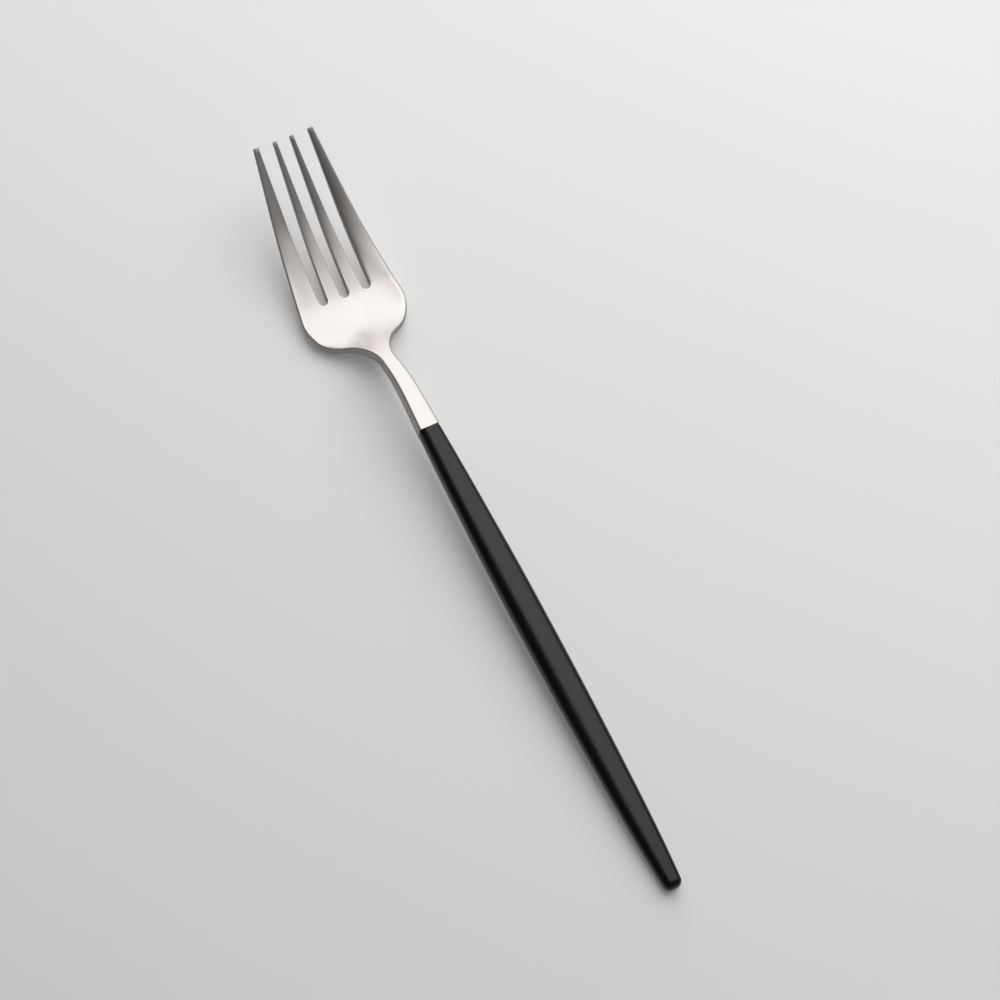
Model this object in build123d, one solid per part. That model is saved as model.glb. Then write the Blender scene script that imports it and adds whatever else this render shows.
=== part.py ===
from build123d import *
import os

# A dinner fork lying face up: +X runs from the tail to the tines, +Z is up, and the fork rests on z = 0
# on the underside of its bowl and on the tail of its handle. Its origin is under the middle of its length.
# Stations are measured along X from the tail, and reaches ahead of the collar, where the handle ends and
# the steel begins. The shoulders, slots and tines are placed behind or beyond the bowl's lowest point.
# All sizes are millimetres.

# Overall
HANDLE_LENGTH = 127.5
HEAD_LENGTH = 82.5
LENGTH = HANDLE_LENGTH + HEAD_LENGTH

# Handle sections, from the tail to the collar, which stands a little proud of the steel neck
TAIL_WIDTH = 4.7
TAIL_HEIGHT = 3.6
TAIL_CORNER = 1.5
TAIL_ROUND = 1.4
REAR_STATION = 30.0
REAR_WIDTH = 7.2
REAR_HEIGHT = 4.6
REAR_CORNER = 2.0
SWELL_STATION = 76.0
SWELL_WIDTH = 8.1
SWELL_HEIGHT = 5.5
SWELL_CORNER = 2.4
FORE_STATION = 106.0
FORE_WIDTH = 7.1
FORE_HEIGHT = 5.4
FORE_CORNER = 1.8
COLLAR_WIDTH = 5.8
COLLAR_HEIGHT = 5.2
COLLAR_CORNER = 1.4

# Top line of the steel in side view, at the middle of its width, before the bowl is set down on z = 0
COLLAR_TOP = 11.55
CREST_REACH = 14.5
CREST_TOP = 11.95
FALL_BEHIND = 12.8
FALL_TOP = 7.85
HEEL_BEHIND = 7.0
HEEL_TOP = 4.8
BOWL_REACH = 38.5
BOWL_TOP = 2.44
RISE_BEYOND = 9.0
RISE_TOP = 4.07
BEND_BEYOND = 22.5
BEND_TOP = 9.55
TIP_TOP = 22.7
COLLAR_SLOPE = 0.03
TIP_SLOPE = 0.65

# Thickness and rounding of the steel, from its neck at the collar to the tips
NECK_WIDTH = 5.3
NECK_HEIGHT = 4.75
NECK_CORNER = 0.8
BOWL_THICKNESS = 2.4
RIM_THICKNESS = 1.8
TIP_THICKNESS = 1.0
DISH_RADIUS = 75.0
HEEL_RADIUS = 30.0
REST_FLAT_DEPTH = 0.06
RIM_CORNER = 0.5

# Outline of the steel seen from above, with its corners before rounding
ROOT_BEHIND = 10.5
ROOT_WIDTH = 3.3
ROOT_FILLET = 10.0
SHOULDER_BEHIND = 3.8
SHOULDER_SPAN = 29.2
SHOULDER_FILLET = 10.5
TIP_SPAN = 16.4
TIP_CORNER = 0.4

# Slots between the tines
SLOT_END_BEYOND = 6.2
SLOT_ROOT_WIDTH = 2.35
MIDDLE_SLOT_TIP_WIDTH = 3.6
OUTER_SLOT_TIP_WIDTH = 4.05
SLOT_ROOT_PITCH = 5.94
SLOT_TIP_PITCH = 4.72

# Tang inside the handle and the set epoxy round it
TANG_LENGTH = 62.0
TANG_WIDTH = 3.0
TANG_HEIGHT = 2.8
TANG_END_WIDTH = 2.2
TANG_END_HEIGHT = 2.0
TANG_CORNER = 0.3
BOND_GAP = 0.25
BOND_END = 2.0
NOTCH_COUNT = 3
NOTCH_PITCH = 15.0
NOTCH_RADIUS = 0.5

# Counts and reaches used only to build the surfaces
STEEL_SECTIONS = 44
REST_SAMPLES = 400
PAST_TIP = 2.0
LEAST_RISE = 0.01


def across(station, height):
    """Plane square to the length at a station, its centre at a height."""
    return Plane(origin=(station - LENGTH / 2, 0, height), x_dir=(0, 1, 0), z_dir=(1, 0, 0))


def ahead(reach):
    """Station of a place a given reach ahead of the collar."""
    return HANDLE_LENGTH + reach


def smooth_step(value, start, end):
    """Zero before start, one after end, and an even ease between."""
    share = min(max((value - start) / (end - start), 0.0), 1.0)
    return share * share * (3 - 2 * share)


def top_line():
    """Curve of the steel's upper side from the collar to the tips, in side view."""
    points = (
        (HANDLE_LENGTH, COLLAR_TOP),
        (ahead(CREST_REACH), CREST_TOP),
        (ahead(BOWL_REACH - FALL_BEHIND), FALL_TOP),
        (ahead(BOWL_REACH - HEEL_BEHIND), HEEL_TOP),
        (ahead(BOWL_REACH), BOWL_TOP),
        (ahead(BOWL_REACH + RISE_BEYOND), RISE_TOP),
        (ahead(BOWL_REACH + BEND_BEYOND), BEND_TOP),
        (LENGTH, TIP_TOP),
    )
    return Spline(*points, tangents=((1, COLLAR_SLOPE), (1, TIP_SLOPE)))


def rim_line():
    """Half of the steel's outline from the collar to the tip corner, seen from above."""
    points = (
        (HANDLE_LENGTH, NECK_WIDTH / 2),
        (ahead(BOWL_REACH - ROOT_BEHIND), ROOT_WIDTH / 2),
        (ahead(BOWL_REACH - SHOULDER_BEHIND), SHOULDER_SPAN / 2),
        (LENGTH, TIP_SPAN / 2),
    )
    return FilletPolyline(*points, radius=(ROOT_FILLET, SHOULDER_FILLET))


def share_at(line, station):
    """Share of a curve at which it passes a station, found by halving."""
    low = 0.0
    high = 1.0
    for _ in range(40):
        middle = (low + high) / 2
        if (line @ middle).X < station:
            low = middle
        else:
            high = middle
    return low


def steel_thickness(station):
    """Thickness of the steel, full at the collar, thin in the bowl and thinner at the tips."""
    to_bowl = smooth_step(station, HANDLE_LENGTH, ahead(BOWL_REACH))
    to_tip = smooth_step(station, ahead(BOWL_REACH + SLOT_END_BEYOND), LENGTH)
    thinned = (NECK_HEIGHT - BOWL_THICKNESS) * to_bowl + (BOWL_THICKNESS - TIP_THICKNESS) * to_tip
    return NECK_HEIGHT - thinned


def upright_thickness(line, share):
    """Thickness of the steel measured straight down at a share of its top line."""
    return steel_thickness((line @ share).X) / (line % share).X


def rim_thickness(thick, half):
    """Upright thickness at the rim, thinned from the sides of the neck to the shoulders."""
    to_shoulder = smooth_step(half, NECK_WIDTH / 2, SHOULDER_SPAN / 2)
    return thick - (thick - min(thick, RIM_THICKNESS)) * to_shoulder


def rest_level(line):
    """Lowest height of the steel's underside before its resting flat is cut."""
    shares = [index / REST_SAMPLES for index in range(REST_SAMPLES + 1)]
    return min((line @ share).Y - upright_thickness(line, share) for share in shares)


TOP_LINE = top_line()
REST_LEVEL = rest_level(TOP_LINE) + REST_FLAT_DEPTH


def axis_height(station):
    """Height of the handle's straight middle line at a station."""
    tail_middle = TAIL_HEIGHT / 2
    collar_middle = COLLAR_TOP - REST_LEVEL - NECK_HEIGHT / 2
    return tail_middle + (collar_middle - tail_middle) * station / HANDLE_LENGTH


def bar_section(station, width, height, corner):
    """Rounded rectangle square to the length, centred on the handle's middle line."""
    return across(station, axis_height(station)) * RectangleRounded(width, height, corner)


def hollow(station):
    """Curvature across the steel: dished in the bowl, and crowned at the heel where the neck runs in."""
    heel = ahead(BOWL_REACH - HEEL_BEHIND)
    to_dish = smooth_step(station, ahead(CREST_REACH), ahead(BOWL_REACH))
    to_heel = smooth_step(station, ahead(BOWL_REACH - FALL_BEHIND), heel)
    past_heel = smooth_step(station, heel, ahead(BOWL_REACH))
    return to_dish / DISH_RADIUS - to_heel * (1 - past_heel) / HEEL_RADIUS


def steel_section(station, half):
    """Dished or crowned strip with rounded rims, upright across the steel at a station."""
    share = share_at(TOP_LINE, station)
    thick = upright_thickness(TOP_LINE, share)
    rise = hollow(station) * half**2 / 2
    if abs(rise) < LEAST_RISE:
        rise = LEAST_RISE
    base = rise - rim_thickness(thick, half)
    upper = ThreePointArc((-half, rise), (0, 0), (half, rise))
    lower = ThreePointArc((half, base), (0, -thick), (-half, base))
    sides = (Line(upper @ 1, lower @ 0), Line(lower @ 1, upper @ 0))
    strip = make_face([upper, sides[0], lower, sides[1]])
    to_rim = smooth_step(station, HANDLE_LENGTH, ahead(BOWL_REACH))
    corner = NECK_CORNER + (RIM_CORNER - NECK_CORNER) * to_rim
    return across(station, (TOP_LINE @ share).Y - REST_LEVEL) * fillet(strip.vertices(), corner)


def slot(root_middle, tip_middle, tip_width):
    """Cutter for one slot, from its round end near the bowl, widening evenly past the tips."""
    end_station = ahead(BOWL_REACH + SLOT_END_BEYOND) + SLOT_ROOT_WIDTH / 2
    root = Pos(end_station - LENGTH / 2, root_middle) * Circle(SLOT_ROOT_WIDTH / 2)
    tip = Pos(LENGTH / 2 + PAST_TIP, tip_middle) * Circle(tip_width / 2)
    return extrude(make_hull((root + tip).edges()), 2 * TIP_TOP)


def tang_bar(margin, length):
    """Tapered bar inside the handle, grown all round by a margin."""
    def cut(station):
        taper = (HANDLE_LENGTH - station) / TANG_LENGTH
        width = TANG_WIDTH + (TANG_END_WIDTH - TANG_WIDTH) * taper + 2 * margin
        height = TANG_HEIGHT + (TANG_END_HEIGHT - TANG_HEIGHT) * taper + 2 * margin
        return bar_section(station, width, height, TANG_CORNER)

    return loft([cut(HANDLE_LENGTH - length), cut(HANDLE_LENGTH)])


def tang():
    """Tang with keying notches in both sides."""
    bar = tang_bar(0, TANG_LENGTH)
    for index in range(NOTCH_COUNT):
        station = HANDLE_LENGTH - (index + 1) * NOTCH_PITCH
        for side in (-1, 1):
            edge = TANG_WIDTH + (TANG_END_WIDTH - TANG_WIDTH) * (HANDLE_LENGTH - station) / TANG_LENGTH
            place = Pos(station - LENGTH / 2, side * edge / 2, axis_height(station))
            bar -= place * Cylinder(NOTCH_RADIUS, 2 * TANG_HEIGHT)
    return bar


def steel_body():
    """Neck, bowl and tines: one loft along the outline, flat where it rests and parted by the slots."""
    rim = rim_line()
    marks = [rim @ (index / STEEL_SECTIONS) for index in range(STEEL_SECTIONS + 1)]
    body = split(loft([steel_section(mark.X, mark.Y) for mark in marks]), Plane.XY)
    body -= slot(0, 0, MIDDLE_SLOT_TIP_WIDTH)
    for side in (-1, 1):
        body -= slot(side * SLOT_ROOT_PITCH, side * SLOT_TIP_PITCH, OUTER_SLOT_TIP_WIDTH)
    tips = body.edges().filter_by(Axis.Z).filter_by(lambda e: e.center().X > LENGTH / 2 - 0.01)
    return fillet(tips, TIP_CORNER)


def fork_head():
    """The whole steel forging: neck, bowl, tines and the tang."""
    return steel_body() + tang()


def tang_adhesive():
    """Set epoxy that fills the socket round the tang."""
    return tang_bar(BOND_GAP, TANG_LENGTH + BOND_END) - tang()


def handle_grip():
    """Resin handle with a blind socket for the tang and its epoxy."""
    sections = [
        bar_section(0, TAIL_WIDTH, TAIL_HEIGHT, TAIL_CORNER),
        bar_section(REAR_STATION, REAR_WIDTH, REAR_HEIGHT, REAR_CORNER),
        bar_section(SWELL_STATION, SWELL_WIDTH, SWELL_HEIGHT, SWELL_CORNER),
        bar_section(FORE_STATION, FORE_WIDTH, FORE_HEIGHT, FORE_CORNER),
        bar_section(HANDLE_LENGTH, COLLAR_WIDTH, COLLAR_HEIGHT, COLLAR_CORNER),
    ]
    grip = loft(sections)
    grip = fillet(grip.faces().sort_by(Axis.X)[0].edges(), TAIL_ROUND)
    return grip - tang_bar(BOND_GAP, TANG_LENGTH + BOND_END)


os.makedirs("parts", exist_ok=True)
for make in (fork_head, handle_grip, tang_adhesive):
    name = make.__name__
    piece = make()
    box = piece.bounding_box()
    print(name, "solids", len(piece.solids()), "volume", round(piece.volume, 1), "valid", piece.is_valid)
    print("   from", [round(v, 3) for v in box.min], "to", [round(v, 3) for v in box.max])
    export_step(piece, f"parts/{name}.step")
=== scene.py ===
"""A slim dinner fork lying face up: a satin steel head set in a black resin handle.

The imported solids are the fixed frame. Finer meshes dress the steel head and the resin handle in the same
place, the hidden epoxy keeps its solid, and a plain studio shows the fork at the photograph's angle.
Lengths in the fields are millimetres unless they say metres, and meshes are in metres. Stations are measured
along the fork from its tail. +X runs from the tail to the tines, +Y to the left and +Z up.
"""

import logging
import math
from dataclasses import dataclass, field
from enum import Enum
from functools import cached_property
from typing import Any

import bmesh
import bpy
import numpy as np
from mathutils import Matrix, Vector

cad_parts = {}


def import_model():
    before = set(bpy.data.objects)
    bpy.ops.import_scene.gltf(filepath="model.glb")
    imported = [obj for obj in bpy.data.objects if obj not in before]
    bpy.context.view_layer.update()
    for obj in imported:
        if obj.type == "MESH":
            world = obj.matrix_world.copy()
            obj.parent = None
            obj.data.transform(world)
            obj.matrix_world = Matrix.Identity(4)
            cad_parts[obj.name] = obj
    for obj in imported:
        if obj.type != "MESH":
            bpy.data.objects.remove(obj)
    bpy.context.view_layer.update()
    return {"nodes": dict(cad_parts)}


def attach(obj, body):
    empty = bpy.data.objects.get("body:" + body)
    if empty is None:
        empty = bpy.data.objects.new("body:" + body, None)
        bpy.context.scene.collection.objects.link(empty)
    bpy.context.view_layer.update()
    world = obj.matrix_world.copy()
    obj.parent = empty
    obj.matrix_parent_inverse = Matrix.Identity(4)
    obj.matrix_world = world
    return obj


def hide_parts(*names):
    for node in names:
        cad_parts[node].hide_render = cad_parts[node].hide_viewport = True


LOG = logging.getLogger("dinner_fork")
MM = 0.001
FORK_LENGTH = 210.0
HANDLE_LENGTH = 127.5
TAIL_MIDDLE = 1.8
EDGE = "rough_shaded_edge"
SHARP_ANGLE = 50.0
SAME_POINT = 1e-8
NO_LENGTH = 1e-9
NOISE_MEAN = 0.5
BLACK = (0.0, 0.0, 0.0)
SEEING_RAYS = ("Is Camera Ray", "Is Glossy Ray", "Is Transmission Ray")

Plan = tuple[float, float]
Triple = tuple[float, float, float]
Grid = list[dict[int, int]]
Vertices = list[bmesh.types.BMVert]
Settings = dict[str, Any]
Sockets = dict[str | int, Any]


class Layer(Enum):
    """Which face of the steel a height is asked for."""

    TOP = 1
    UNDER = -1


def ease(value: float, start: float, end: float) -> float:
    """Rise smoothly from zero at start to one at end.

    Args:
        value: Where the ease is asked for.
        start: Where it leaves zero.
        end: Where it reaches one.

    Returns:
        A share from zero to one.
    """
    share = min(max((value - start) / (end - start), 0.0), 1.0)
    return share * share * (3 - 2 * share)


class Value:
    """A number socket of a node tree, with arithmetic that adds Math nodes."""

    def __init__(self, book: "NodeBook", socket: bpy.types.NodeSocket) -> None:
        """Wrap one output socket.

        Args:
            book: The tree that the socket is in.
            socket: The output socket.
        """
        self.book = book
        self.socket = socket

    def apply(self, operation: str, *others: Any) -> "Value":
        """Add a Math node that works on this value.

        Args:
            operation: The Math node's operation.
            others: Its other numbers or values.

        Returns:
            The node's result.
        """
        sockets = dict(enumerate((self, *others)))
        return self.book.value("ShaderNodeMath", {"operation": operation}, sockets)

    def reflected(self, operation: str, first: float) -> "Value":
        """Add a Math node that has a plain number before this value."""
        return self.book.value("ShaderNodeMath", {"operation": operation}, {0: first, 1: self})

    def __add__(self, other: Any) -> "Value":
        """Add a number or value."""
        return self.apply("ADD", other)

    __radd__ = __add__

    def __mul__(self, other: Any) -> "Value":
        """Multiply by a number or value."""
        return self.apply("MULTIPLY", other)

    __rmul__ = __mul__

    def __sub__(self, other: Any) -> "Value":
        """Take away a number or value."""
        return self.apply("SUBTRACT", other)

    def __rsub__(self, other: float) -> "Value":
        """Take this value from a number."""
        return self.reflected("SUBTRACT", other)

    def __truediv__(self, other: Any) -> "Value":
        """Divide by a number or value."""
        return self.apply("DIVIDE", other)

    def __rtruediv__(self, other: float) -> "Value":
        """Divide a number by this value."""
        return self.reflected("DIVIDE", other)

    def __pow__(self, other: Any) -> "Value":
        """Raise to a power."""
        return self.apply("POWER", other)


@dataclass
class NodeBook:
    """Adds nodes to one tree.

    Attributes:
        tree: The shader or geometry tree.
    """

    tree: bpy.types.NodeTree

    def add(
        self,
        kind: str,
        settings: Settings | None = None,
        sockets: Sockets | None = None,
    ) -> bpy.types.Node:
        """Add a node, set it up, then fill its inputs.

        Args:
            kind: The node's type.
            settings: Its properties, with a curve's points under "points".
            sockets: What goes into its inputs, by name or place.

        Returns:
            The new node.
        """
        node = self.tree.nodes.new(kind)
        for name, setting in (settings or {}).items():
            if name == "points":
                self.set_points(node, setting)
            else:
                setattr(node, name, setting)
        self.fill(node, sockets or {})
        return node

    def fill(self, node: bpy.types.Node, sockets: Sockets) -> None:
        """Set or link a node's inputs.

        Args:
            node: The node.
            sockets: Plain values, sockets or wrapped values for its inputs, by name or place.
        """
        for key, given in sockets.items():
            source = given.socket if isinstance(given, Value) else given
            if isinstance(source, bpy.types.NodeSocket):
                self.tree.links.new(source, node.inputs[key])
            else:
                node.inputs[key].default_value = source

    def value(
        self,
        kind: str,
        settings: Settings | None = None,
        sockets: Sockets | None = None,
        output: str | int = 0,
    ) -> Value:
        """Add a node and wrap one of its outputs.

        Args:
            kind: The node's type.
            settings: Its properties.
            sockets: What goes into its inputs.
            output: The output's name or place.

        Returns:
            The wrapped output.
        """
        return Value(self, self.add(kind, settings, sockets).outputs[output])

    @staticmethod
    def set_points(node: bpy.types.Node, points: list[Plan]) -> None:
        """Place a curve's points.

        Args:
            node: The Float Curve node.
            points: Where each point is, from zero to one both ways.
        """
        curve = node.mapping.curves[0]
        while len(curve.points) < len(points):
            curve.points.new(0.5, 0.5)
        for point, place in zip(curve.points, points):
            point.location = place
            point.handle_type = "AUTO"
        node.mapping.update()


@dataclass(frozen=True)
class Grain:
    """A pattern of noise on a surface.

    Attributes:
        stretch: Spots in a metre along X, Y and Z.
        detail: How many finer layers it has.
        rough: How strong the finer layers are.
    """

    stretch: Triple
    detail: float
    rough: float


class Finish:
    """What every material shares: its start, its noise, its blended colours and its bump."""

    name: str = "finish"

    def start(self) -> tuple[bpy.types.Material, NodeBook, bpy.types.Node]:
        """Make an empty material.

        Returns:
            The material, its node book and its shader.
        """
        material = bpy.data.materials.new(self.name)
        material.use_nodes = True
        material.node_tree.nodes.clear()
        book = NodeBook(material.node_tree)
        shader = book.add("ShaderNodeBsdfPrincipled")
        book.add("ShaderNodeOutputMaterial", None, {"Surface": shader.outputs["BSDF"]})
        return material, book, shader

    @staticmethod
    def noise(book: NodeBook, grain: Grain) -> Value:
        """Add noise on Object coordinates.

        Args:
            book: The material's node book.
            grain: The pattern.

        Returns:
            The noise, from zero to one.
        """
        place = book.add("ShaderNodeTexCoord").outputs["Object"]
        mapped = book.add("ShaderNodeMapping", None, {"Vector": place, "Scale": grain.stretch})
        sockets = {
            "Vector": mapped.outputs["Vector"],
            "Scale": 1.0,
            "Detail": grain.detail,
            "Roughness": grain.rough,
        }
        return book.value("ShaderNodeTexNoise", {"noise_dimensions": "3D"}, sockets, "Fac")

    @staticmethod
    def tint(book: NodeBook, share: Value, first: Any, second: Triple) -> bpy.types.NodeSocket:
        """Blend two colours.

        Args:
            book: The material's node book.
            share: How much of the second colour shows.
            first: The first colour, or the socket of one.
            second: The second colour.

        Returns:
            The colour socket.
        """
        settings = {"data_type": "RGBA", "clamp_factor": True}
        start = first if isinstance(first, bpy.types.NodeSocket) else (*first, 1)
        return book.add("ShaderNodeMix", settings, {0: share, 6: start, 7: (*second, 1)}).outputs[2]

    @staticmethod
    def bump(book: NodeBook, height: Value, depth: float) -> bpy.types.NodeSocket:
        """Raise a pattern out of the surface.

        Args:
            book: The material's node book.
            height: The pattern.
            depth: How deep it is, in metres.

        Returns:
            The socket of the changed normal.
        """
        sockets = {"Height": height, "Strength": 1.0, "Distance": depth}
        return book.add("ShaderNodeBump", None, sockets).outputs["Normal"]


@dataclass(frozen=True)
class SatinSteel(Finish):
    """Stainless steel with a fine lengthwise satin.

    Attributes:
        name: The material's name.
        pale: Colour on the cleaner patches.
        deep: Colour on the duller patches.
        edge: Painted shade: a darker colour on the rounded edges and the slot walls, standing in for the
            shadowed floor that they reflect.
        lines: Pattern of the satin lines.
        haze: Pattern of the slow patches.
        roughness: Mean roughness.
        line_change: How far the lines change the roughness.
        haze_change: How far the patches change the roughness.
        edge_change: How much rougher the edges are.
        line_depth: Depth of the lines in metres.
    """

    name: str = "satin_steel"
    pale: Triple = (0.53, 0.503, 0.486)
    deep: Triple = (0.49, 0.463, 0.446)
    edge: Triple = (0.415, 0.39, 0.372)
    lines: Grain = Grain((70, 2600, 2600), 3.0, 0.6)
    haze: Grain = Grain((60, 90, 90), 2.0, 0.5)
    roughness: float = 0.23
    line_change: float = 0.10
    haze_change: float = 0.05
    edge_change: float = 0.36
    line_depth: float = 0.000004

    def make(self) -> bpy.types.Material:
        """Build the material.

        Returns:
            The finished material.
        """
        material, book, shader = self.start()
        lines = self.noise(book, self.lines)
        haze = self.noise(book, self.haze)
        # The edge mask gives the rounded edges and slot walls painted shade (a darker colour) and more
        # roughness.
        edges = book.value("ShaderNodeAttribute", {"attribute_name": EDGE}, None, "Fac")
        face = self.tint(book, haze, self.pale, self.deep)
        rough = self.roughness + self.line_change * (lines - NOISE_MEAN)
        rough += self.haze_change * (haze - NOISE_MEAN)
        sockets = {
            "Base Color": self.tint(book, edges, face, self.edge),
            "Metallic": 1.0,
            "Roughness": rough + self.edge_change * edges,
            "Normal": self.bump(book, lines, self.line_depth),
        }
        book.fill(shader, sockets)
        return material


@dataclass(frozen=True)
class SatinResin(Finish):
    """Black moulded resin with a fine satin grain.

    Attributes:
        name: The material's name.
        black: Main colour.
        worn: Colour on the more handled patches.
        grain: Pattern of the moulded grain.
        patches: Pattern of the handled patches.
        roughness: Mean roughness.
        shine: Strength of its reflections.
        patch_change: How far handled patches change the roughness.
        grain_change: How far the grain changes the roughness.
        grain_depth: Depth of the grain in metres.
    """

    name: str = "satin_resin"
    black: Triple = (0.003, 0.003, 0.0035)
    worn: Triple = (0.005, 0.005, 0.0055)
    grain: Grain = Grain((2400, 3600, 3600), 3.0, 0.6)
    patches: Grain = Grain((45, 120, 120), 2.0, 0.5)
    roughness: float = 0.29
    shine: float = 0.40
    patch_change: float = 0.06
    grain_change: float = 0.06
    grain_depth: float = 0.000006

    def make(self) -> bpy.types.Material:
        """Build the material.

        Returns:
            The finished material.
        """
        material, book, shader = self.start()
        grain = self.noise(book, self.grain)
        patches = self.noise(book, self.patches)
        rough = self.roughness + self.patch_change * (patches - NOISE_MEAN)
        sockets = {
            "Base Color": self.tint(book, patches, self.black, self.worn),
            "Specular IOR Level": self.shine,
            "Roughness": rough + self.grain_change * (grain - NOISE_MEAN),
            "Normal": self.bump(book, grain, self.grain_depth),
        }
        book.fill(shader, sockets)
        return material


@dataclass(frozen=True)
class SetEpoxy(Finish):
    """Amber epoxy that has set round the tang.

    Attributes:
        name: The material's name.
        clear: Colour where it set clean.
        clouded: Colour where fine bubbles cloud it.
        cloud: Pattern of the clouded patches.
        bubbles: Pattern of the bubbles.
        roughness: Mean roughness.
        cloud_change: How far clouded patches change the roughness.
        bubble_change: How far the bubbles change the roughness.
        bubble_depth: Depth of the bubbles in metres.
    """

    name: str = "set_epoxy"
    clear: Triple = (0.30, 0.17, 0.045)
    clouded: Triple = (0.50, 0.36, 0.16)
    cloud: Grain = Grain((300, 500, 500), 4.0, 0.6)
    bubbles: Grain = Grain((2500, 2500, 2500), 1.0, 0.4)
    roughness: float = 0.32
    cloud_change: float = 0.2
    bubble_change: float = 0.1
    bubble_depth: float = 0.00002

    def make(self) -> bpy.types.Material:
        """Build the material.

        Returns:
            The finished material.
        """
        material, book, shader = self.start()
        cloud = self.noise(book, self.cloud)
        bubbles = self.noise(book, self.bubbles)
        rough = self.roughness + self.cloud_change * (cloud - NOISE_MEAN)
        sockets = {
            "Base Color": self.tint(book, cloud, self.clear, self.clouded),
            "Roughness": rough + self.bubble_change * (bubbles - NOISE_MEAN),
            "Normal": self.bump(book, bubbles, self.bubble_depth),
        }
        book.fill(shader, sockets)
        return material


@dataclass(frozen=True)
class PaleFloor(Finish):
    """Plain pale studio floor.

    Attributes:
        name: The material's name.
        colour: Main colour.
        shade: Colour on its faintly darker patches.
        patches: Pattern of the patches.
        lift: How far it is lifted towards white where it is seen.
        roughness: Roughness.
        shine: Strength of its reflections.
    """

    name: str = "pale_floor"
    colour: Triple = (0.916, 0.914, 0.912)
    shade: Triple = (0.896, 0.894, 0.892)
    patches: Grain = Grain((6, 6, 6), 2.0, 0.5)
    lift: float = 0.12
    roughness: float = 0.9
    shine: float = 0.1

    def make(self) -> bpy.types.Material:
        """Build the material.

        Returns:
            The finished material.
        """
        material, book, shader = self.start()
        patches = self.noise(book, self.patches)
        path = book.add("ShaderNodeLightPath")
        seen = sum(Value(book, path.outputs[ray]) for ray in SEEING_RAYS)
        sockets = {
            "Base Color": self.tint(book, patches, self.colour, self.shade),
            "Emission Color": self.tint(book, seen, BLACK, self.colour),
            "Emission Strength": self.lift,
            "Roughness": self.roughness,
            "Specular IOR Level": self.shine,
        }
        book.fill(shader, sockets)
        return material


@dataclass(frozen=True)
class SmoothLine:
    """A smooth curve through chosen points, with a set slope at each end.

    Attributes:
        stations: Where the points are along the fork.
        heights: How high they are.
        first_slope: Slope at the first point.
        last_slope: Slope at the last point.
    """

    stations: tuple[float, ...]
    heights: tuple[float, ...]
    first_slope: float
    last_slope: float

    @cached_property
    def slopes(self) -> np.ndarray:
        """Work out the slopes that let the curve bend without a break.

        Returns:
            The slope at each point.
        """
        gap = np.diff(self.stations)
        lift = np.diff(self.heights)
        count = len(self.stations)
        matrix = np.eye(count)
        right = np.zeros(count)
        right[0] = self.first_slope
        right[-1] = self.last_slope
        for i in range(1, count - 1):
            matrix[i, i - 1] = 1 / gap[i - 1]
            matrix[i, i] = 2 / gap[i - 1] + 2 / gap[i]
            matrix[i, i + 1] = 1 / gap[i]
            right[i] = 3 * (lift[i - 1] / gap[i - 1] ** 2 + lift[i] / gap[i] ** 2)
        return np.linalg.solve(matrix, right)

    def at(self, station: float) -> Plan:
        """Height and slope of the curve.

        Args:
            station: Where along the fork.

        Returns:
            The height and the slope there.
        """
        i = min(max(int(np.searchsorted(self.stations, station)) - 1, 0), len(self.stations) - 2)
        gap = self.stations[i + 1] - self.stations[i]
        t = (station - self.stations[i]) / gap
        low, high = self.heights[i], self.heights[i + 1]
        first, last = self.slopes[i] * gap, self.slopes[i + 1] * gap
        cube = 2 * low - 2 * high + first + last
        square = -3 * low + 3 * high - 2 * first - last
        height = ((cube * t + square) * t + first) * t + low
        slope = ((3 * cube * t + 2 * square) * t + first) / gap
        return float(height), float(slope)


@dataclass(frozen=True)
class RimPoint:
    """A point of the head's outline seen from above.

    Attributes:
        x: Station along the fork.
        y: Half width.
        nx: Outward direction along the fork.
        ny: Outward direction across the fork.
    """

    x: float
    y: float
    nx: float
    ny: float


@dataclass(frozen=True)
class Fillet:
    """A rounded corner of the head's outline, seen from above.

    Attributes:
        before: Start of the straight run that comes to it.
        corner: The corner before it is rounded.
        after: End of the straight run that leaves it.
        radius: Its radius.
    """

    before: Vector
    corner: Vector
    after: Vector
    radius: float

    @cached_property
    def come(self) -> Vector:
        """Direction in which the outline comes to the corner."""
        return (self.corner - self.before).normalized()

    @cached_property
    def leave(self) -> Vector:
        """Direction in which the outline leaves the corner."""
        return (self.after - self.corner).normalized()

    @cached_property
    def turn(self) -> float:
        """Angle by which the outline turns, positive to the left."""
        return math.atan2(self.come.cross(self.leave), self.come.dot(self.leave))

    @property
    def cut(self) -> float:
        """Length that the rounding takes from each straight run."""
        return self.radius * math.tan(abs(self.turn) / 2)

    @property
    def start(self) -> Vector:
        """Where the rounding starts."""
        return self.corner - self.come * self.cut

    @property
    def end(self) -> Vector:
        """Where the rounding ends."""
        return self.corner + self.leave * self.cut

    def at(self, share: float) -> RimPoint:
        """Point of the rounding.

        Args:
            share: How far along the rounding, from zero to one.

        Returns:
            The point with its outward direction.
        """
        reach = math.copysign(self.radius, self.turn)
        centre = self.start + reach * Vector((-self.come.y, self.come.x))
        way = Matrix.Rotation(self.turn * share, 2) @ self.come
        normal = Vector((-way.y, way.x))
        spot = centre - reach * normal
        return RimPoint(spot.x, spot.y, normal.x, normal.y)


@dataclass(frozen=True)
class EdgeSpot:
    """A place on the head's edge where the rounding from top to underside starts.

    Attributes:
        vertex: The top vertex at which it starts.
        normal: Outward direction seen from above.
        reach: How far the rounding reaches out.
    """

    vertex: int
    normal: Plan
    reach: float


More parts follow.
